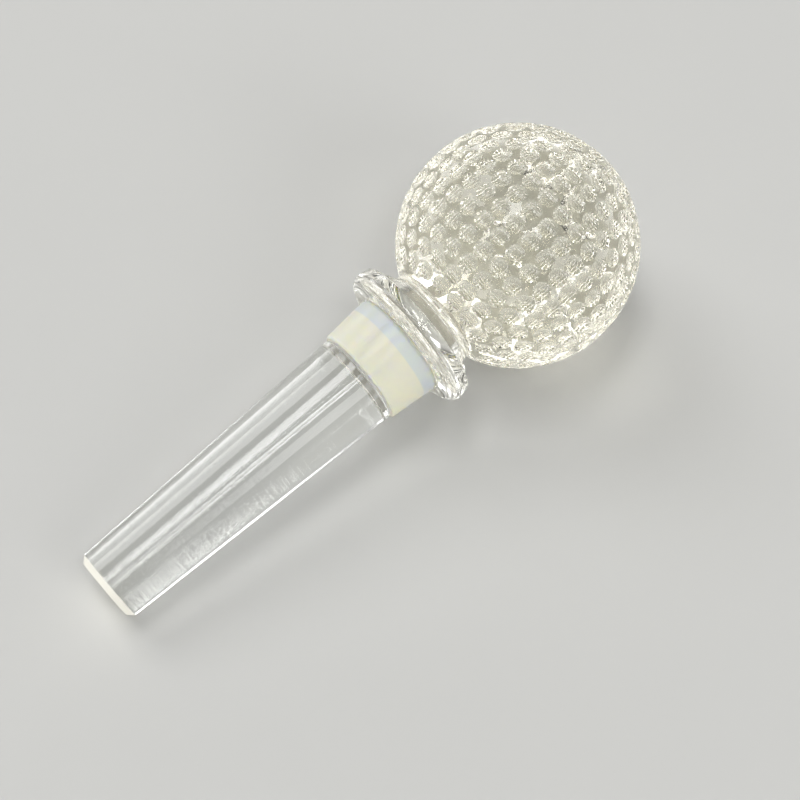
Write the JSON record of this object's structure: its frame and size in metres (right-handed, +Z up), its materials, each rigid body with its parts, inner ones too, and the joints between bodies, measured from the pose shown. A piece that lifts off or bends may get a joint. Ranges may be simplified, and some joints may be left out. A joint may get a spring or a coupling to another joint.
{
  "type": "glass bottle stopper",
  "caption": "Solid glass bottle stopper with a dimpled ball for a handle, a rounded flange, a tapered translucent seal ring and a long tapered shank.",
  "frame": {"origin": "on the floor, at the middle of the box that holds the lying stopper", "axes": "+X from the tip towards the ball, along the floor; +Z up; the stopper's own axis lies in the XZ plane, tip down by about 9 degrees"},
  "size_m": [0.113, 0.0426, 0.0426],
  "materials": {
    "glass": "clear pressed glass, ground at the tip",
    "seal": "milky translucent polymer, satin"
  },
  "bodies": {
    "root": {"glass_body": "glass", "seal_ring": "seal"}
  },
  "joints": []
}
